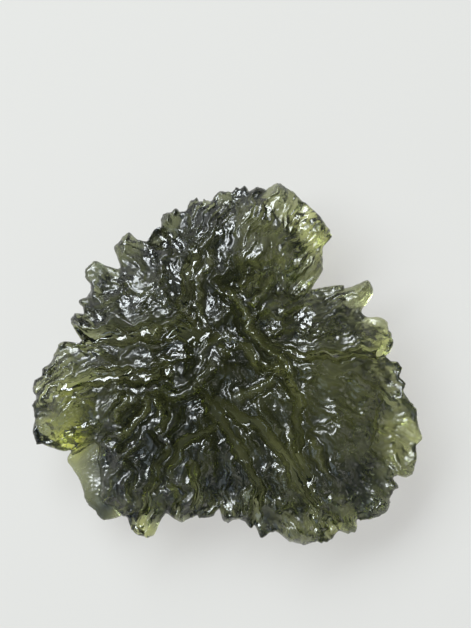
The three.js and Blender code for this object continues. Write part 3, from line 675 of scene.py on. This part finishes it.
def worn_flat(x, y, underside):
    """The underside mixed with a plane under the ground on the rest spot, then cut off at 0."""
    from_spot = np.hypot(x - REST_SPOT["at"][0], y - REST_SPOT["at"][1])
    spot = smooth_step(REST_SPOT["radius"] + REST_SPOT["blend"], REST_SPOT["radius"], from_spot)
    return np.maximum(mix(underside, -BELLY_OVERRUN, spot), 0)


def heights_at(x, y, outline):
    """Heights of the face, the underside and the rim, and the looks of the glass.

    Each sheet starts at the rim, moves away by half the rim's thickness and by a dome, and takes on
    its forms. The ledge is then let in as a flat plate with a round edge.
    """
    to_rim, _, _ = nearest_on_path(x, y, outline)
    to_ledge, _, ledge_side = nearest_on_path(x, y, LEDGE["path"])
    inward = np.minimum(to_rim, to_ledge + LEDGE["shoulder"])
    rounding = np.sqrt(1 - (1 - clamp(to_rim / RIM_ROUNDING)) ** 2)
    fullness = fullness_at(x, y)
    rim = rim_at(x, y)
    relief = smooth_step(RELIEF_START, RELIEF_REACH, inward)
    forms = face_forms(x, y)
    face = (rim + RIM_HALF_THICKNESS * rounding + DOME_RISE * fullness * dome_shape(inward, DOME_REACH)
            + relief * forms["height"])
    belly_fall = RIM_HEIGHT - RIM_HALF_THICKNESS + BELLY_OVERRUN
    underside = (rim - RIM_HALF_THICKNESS * rounding
                 - belly_fall * fullness * dome_shape(to_rim, BELLY_REACH)
                 - relief * belly_forms(x, y))

    in_corner = (x < LEDGE["corner"][0]) & (y < LEDGE["corner"][1])
    on_ledge = smooth_step(0, LEDGE["wall"], to_ledge) * (ledge_side < 0) * in_corner
    sheet = 0.5 + 0.5 * rounding
    face = mix(face, mix(LEDGE["underside"], LEDGE["top"], sheet), on_ledge)
    underside = mix(underside, mix(LEDGE["top"], LEDGE["underside"], sheet), on_ledge)
    underside = worn_flat(x, y, underside)
    face = np.maximum(face, underside + LEAST_THICKNESS * rounding)
    rim = mix(rim, (LEDGE["top"] + LEDGE["underside"]) / 2, on_ledge)
    return face, underside, rim, looks_of(x, y, to_rim, forms)


def stone_triangles(face_index, underside_index):
    """Two triangles for each cell of each sheet, cut along the diagonal that points at the middle."""
    def corners(index):
        return [index[:-1, :-1], index[:-1, 1:], index[1:, 1:], index[1:, :-1]]

    half = CELLS // 2
    row, column = np.indices((CELLS, CELLS))
    turned = ((row < half) != (column < half))[..., None]
    triangles = []
    for index, order in ((face_index, (0, 1, 2, 0, 2, 3)), (underside_index, (0, 2, 1, 0, 3, 2))):
        straight = np.stack(corners(index), axis=-1)
        quads = np.where(turned, np.roll(straight, -1, axis=-1), straight)
        triangles.append(quads[..., list(order)].reshape(-1, 3))
    return np.concatenate(triangles)


def make_mesh(name, vertices, triangles):
    """Puts whole arrays of vertices and triangles into a mesh."""
    mesh = bpy.data.meshes.new(name)
    mesh.vertices.add(len(vertices))
    mesh.vertices.foreach_set("co", np.ascontiguousarray(vertices, np.float32).ravel())
    mesh.loops.add(triangles.size)
    mesh.loops.foreach_set("vertex_index", triangles.ravel().astype(np.int32))
    mesh.polygons.add(len(triangles))
    mesh.polygons.foreach_set("loop_start", np.arange(0, triangles.size, 3, dtype=np.int32))
    mesh.update(calc_edges=True)
    mesh.validate()
    piece = bpy.data.objects.new(name, mesh)
    bpy.context.scene.collection.objects.link(piece)
    return piece


def thinned(piece, most):
    """Collapses the flattest edges until the mesh has at most so many triangles."""
    modifier = piece.modifiers.new("thin", "DECIMATE")
    modifier.ratio = min(1, most / len(piece.data.polygons))
    mesh = bpy.data.meshes.new_from_object(piece.evaluated_get(bpy.context.evaluated_depsgraph_get()))
    piece.modifiers.clear()
    old = piece.data
    piece.data = mesh
    bpy.data.meshes.remove(old)


def make_stone():
    """The stone: the face and underside heights over the plan, sharing the rim's points."""
    outline = smooth_outline()
    plan = plan_grid(outline, outline_measure(outline))
    x, y = plan[..., 0], plan[..., 1]
    face, underside, rim, looks = heights_at(x, y, outline)

    on_rim = np.zeros(x.shape, bool)
    on_rim[[0, -1], :] = True
    on_rim[:, [0, -1]] = True
    count = x.size
    face_index = np.arange(count).reshape(x.shape)
    underside_index = face_index.copy()
    underside_index[~on_rim] = count + np.arange((~on_rim).sum())
    top = np.stack([x, y, np.where(on_rim, rim, face)], axis=-1).reshape(-1, 3)
    bottom = np.stack([x, y, underside], axis=-1)[~on_rim]
    vertices = np.concatenate([top, bottom])

    middle = (STONE_LOW + STONE_HIGH) / 2
    own_middle = (vertices.min(axis=0) + vertices.max(axis=0)) / 2
    vertices[:, :2] += (middle - own_middle)[:2]
    stone = make_mesh("moldavite_glass", vertices * MM, stone_triangles(face_index, underside_index))
    for name, over_plan in looks.items():
        values = np.concatenate([over_plan.ravel(), over_plan[~on_rim]])
        attribute = stone.data.attributes.new(name, "FLOAT", "POINT")
        attribute.data.foreach_set("value", values.astype(np.float32))
    thinned(stone, MOST_TRIANGLES)
    stone.data.polygons.foreach_set("use_smooth", [True] * len(stone.data.polygons))
    stone.data.materials.clear()
    stone.data.materials.append(green_glass())
    return stone


def new_material(name):
    """An empty node material, its nodes, and the function that links one socket to another."""
    material = bpy.data.materials.new(name)
    material.use_nodes = True
    nodes = material.node_tree.nodes
    nodes.clear()
    return material, nodes, material.node_tree.links.new


def own_look(nodes, name):
    """One of the stone's own looks, a number from 0 to 1 that is kept at each point of its mesh."""
    attribute = nodes.new("ShaderNodeAttribute")
    attribute.attribute_name = name
    return attribute.outputs["Fac"]


def noise_at(nodes, link, place, scale, detail):
    """Cloudy noise fixed to the stone, with so many waves to a metre."""
    noise = nodes.new("ShaderNodeTexNoise")
    noise.inputs["Scale"].default_value = scale
    noise.inputs["Detail"].default_value = detail
    link(place, noise.inputs["Vector"])
    return noise.outputs["Fac"]


def glass_tint(nodes, link, place):
    """Dark where the glass is not clear, else green, or yellow where it is warm.

    The share between dark and green is the clear look, times clouds from 0.3 to 1.7; besides
    clearness, that look holds painted shade, which pulls towards the dark, and painted light, which
    pulls towards green.
    """
    clearest = nodes.new("ShaderNodeMix")
    clearest.data_type = "RGBA"
    clearest.inputs["A"].default_value = (0.96, 1.0, 0.64, 1)
    clearest.inputs["B"].default_value = (0.95, 0.98, 0.12, 1)
    link(own_look(nodes, "warm"), clearest.inputs["Factor"])
    cloudy = nodes.new("ShaderNodeMapRange")
    cloudy.clamp = False
    cloudy.inputs["To Min"].default_value = 0.3
    cloudy.inputs["To Max"].default_value = 1.7
    link(noise_at(nodes, link, place, 500, 5), cloudy.inputs["Value"])
    share = nodes.new("ShaderNodeMath")
    share.operation = "MULTIPLY"
    # The clear look carries painted light and shade as well as how clear the glass is.
    link(own_look(nodes, "clear"), share.inputs[0])
    link(cloudy.outputs["Result"], share.inputs[1])
    tint = nodes.new("ShaderNodeMix")
    tint.data_type = "RGBA"
    tint.inputs["A"].default_value = (0.05, 0.057, 0.053, 1)
    link(clearest.outputs["Result"], tint.inputs["B"])
    link(share.outputs["Value"], tint.inputs["Factor"])
    return tint.outputs["Result"]


def glass_roughness(nodes, link, place):
    """Nearly polished in grooves and on fins, patchy satin where etched, and duller where hazy."""
    satin = nodes.new("ShaderNodeMapRange")
    satin.inputs["From Min"].default_value = 0.3
    satin.inputs["From Max"].default_value = 0.7
    satin.inputs["To Min"].default_value = 0.12
    satin.inputs["To Max"].default_value = 0.36
    link(noise_at(nodes, link, place, 450, 4), satin.inputs["Value"])
    roughness = nodes.new("ShaderNodeMapRange")
    roughness.inputs["To Min"].default_value = 0.1
    link(own_look(nodes, "etched"), roughness.inputs["Value"])
    link(satin.outputs["Result"], roughness.inputs["To Max"])
    hazed = nodes.new("ShaderNodeMix")
    hazed.inputs["B"].default_value = 0.36
    link(own_look(nodes, "hazy"), hazed.inputs["Factor"])
    link(roughness.outputs["Result"], hazed.inputs["A"])
    return hazed.outputs["Result"]


def glass_grain(nodes, link, place):
    """A fine grain of little cells, as deep as the glass is etched."""
    grain = nodes.new("ShaderNodeTexVoronoi")
    grain.inputs["Scale"].default_value = 3300
    link(place, grain.inputs["Vector"])
    height = nodes.new("ShaderNodeMath")
    height.operation = "MULTIPLY"
    link(grain.outputs["Distance"], height.inputs[0])
    link(own_look(nodes, "etched"), height.inputs[1])
    bump = nodes.new("ShaderNodeBump")
    bump.inputs["Strength"].default_value = 0.6
    bump.inputs["Distance"].default_value = 0.06 * MM
    link(height.outputs["Value"], bump.inputs["Height"])
    return bump.outputs["Normal"]


def green_glass():
    """Green natural glass: smooth in the grooves, finely etched elsewhere, darker the thicker."""
    material, nodes, link = new_material("green_glass")
    output = nodes.new("ShaderNodeOutputMaterial")
    glass = nodes.new("ShaderNodeBsdfPrincipled")
    glass.inputs["IOR"].default_value = 1.49
    glass.inputs["Transmission Weight"].default_value = 1.0
    glass.inputs["Metallic"].default_value = 0.0
    absorption = nodes.new("ShaderNodeVolumeAbsorption")
    absorption.inputs["Color"].default_value = (0.5, 0.52, 0.28, 1)
    absorption.inputs["Density"].default_value = 350
    link(glass.outputs["BSDF"], output.inputs["Surface"])
    link(absorption.outputs["Volume"], output.inputs["Volume"])
    place = nodes.new("ShaderNodeTexCoord").outputs["Object"]
    link(glass_tint(nodes, link, place), glass.inputs["Base Color"])
    link(glass_roughness(nodes, link, place), glass.inputs["Roughness"])
    link(glass_grain(nodes, link, place), glass.inputs["Normal"])
    return material


def pale_paper():
    """Matt pale paper that glows evenly, so that it shows through the glass."""
    material, nodes, link = new_material("pale_paper")
    output = nodes.new("ShaderNodeOutputMaterial")
    paper = nodes.new("ShaderNodeBsdfPrincipled")
    paper.inputs["Base Color"].default_value = (0.09, 0.09, 0.085, 1)
    paper.inputs["Roughness"].default_value = 0.9
    paper.inputs["Specular IOR Level"].default_value = 0.1
    paper.inputs["Emission Color"].default_value = (1, 0.99, 0.96, 1)
    paper.inputs["Emission Strength"].default_value = 0.52
    link(paper.outputs["BSDF"], output.inputs["Surface"])
    return material


def make_floor():
    """A wide flat floor a hair below the stone's lowest point."""
    half = 5  # metres, so that its edge is out of sight in low views
    level = -0.05 * MM
    corners = [(-half, -half, level), (half, -half, level), (half, half, level), (-half, half, level)]
    mesh = bpy.data.meshes.new("floor")
    mesh.from_pydata(corners, [], [(0, 1, 2, 3)])
    floor = bpy.data.objects.new("floor", mesh)
    bpy.context.scene.collection.objects.link(floor)
    floor.data.materials.append(pale_paper())


def add_area_light(name, place, width, height, power, colour):
    """An oblong lamp at a place in metres, turned to face the stone, with its width level."""
    lamp = bpy.data.lights.new(name, "AREA")
    lamp.shape = "RECTANGLE"
    lamp.size = width
    lamp.size_y = height
    lamp.energy = power
    lamp.color = colour
    holder = bpy.data.objects.new(name, lamp)
    holder.location = place
    holder.rotation_euler = (-Vector(place)).to_track_quat("-Z", "Y").to_euler()
    bpy.context.scene.collection.objects.link(holder)


def light_scene():
    """A bright window on the upper left, two weaker lights, and a dim even sky."""
    add_area_light("window", (-0.36, 0.36, 0.42), 0.95, 0.34, 25, (0.9, 0.96, 1.0))
    add_area_light("low_sky", (-0.3, -0.45, 0.4), 0.5, 0.35, 1.2, (0.72, 0.86, 1.0))
    add_area_light("soft_side", (0.5, -0.1, 0.35), 0.3, 0.3, 0.6, (1.0, 0.99, 0.96))
    world = bpy.data.worlds.new("sky")
    world.use_nodes = True
    sky = world.node_tree.nodes["Background"]
    sky.inputs["Color"].default_value = (0.72, 0.87, 1, 1)
    sky.inputs["Strength"].default_value = 0.18
    bpy.context.scene.world = world
    bpy.context.scene.view_settings.view_transform = "Standard"


def add_camera():
    """Straight above the stone, as far away as shows it at the size that the photograph does."""
    photo_width, photo_height = 471, 628
    stone_middle = (227.5, 364.5)  # in the photograph's pixels
    pixel = 32 / 389 * MM  # the stone is 389 pixels and 32 mm wide
    lens, sensor = 85, 36
    distance = photo_height * pixel * lens / sensor
    camera = bpy.data.cameras.new("camera")
    camera.lens = lens
    camera.sensor_width = sensor
    camera.clip_start = 0.005
    holder = bpy.data.objects.new("camera", camera)
    holder.location = (
        (photo_width / 2 - stone_middle[0]) * pixel,
        (stone_middle[1] - photo_height / 2) * pixel,
        distance + RIM_HEIGHT * MM,
    )
    bpy.context.scene.collection.objects.link(holder)
    bpy.context.scene.camera = holder


stone = make_stone()
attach(stone, "root")
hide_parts("moldavite")

make_floor()
light_scene()
add_camera()
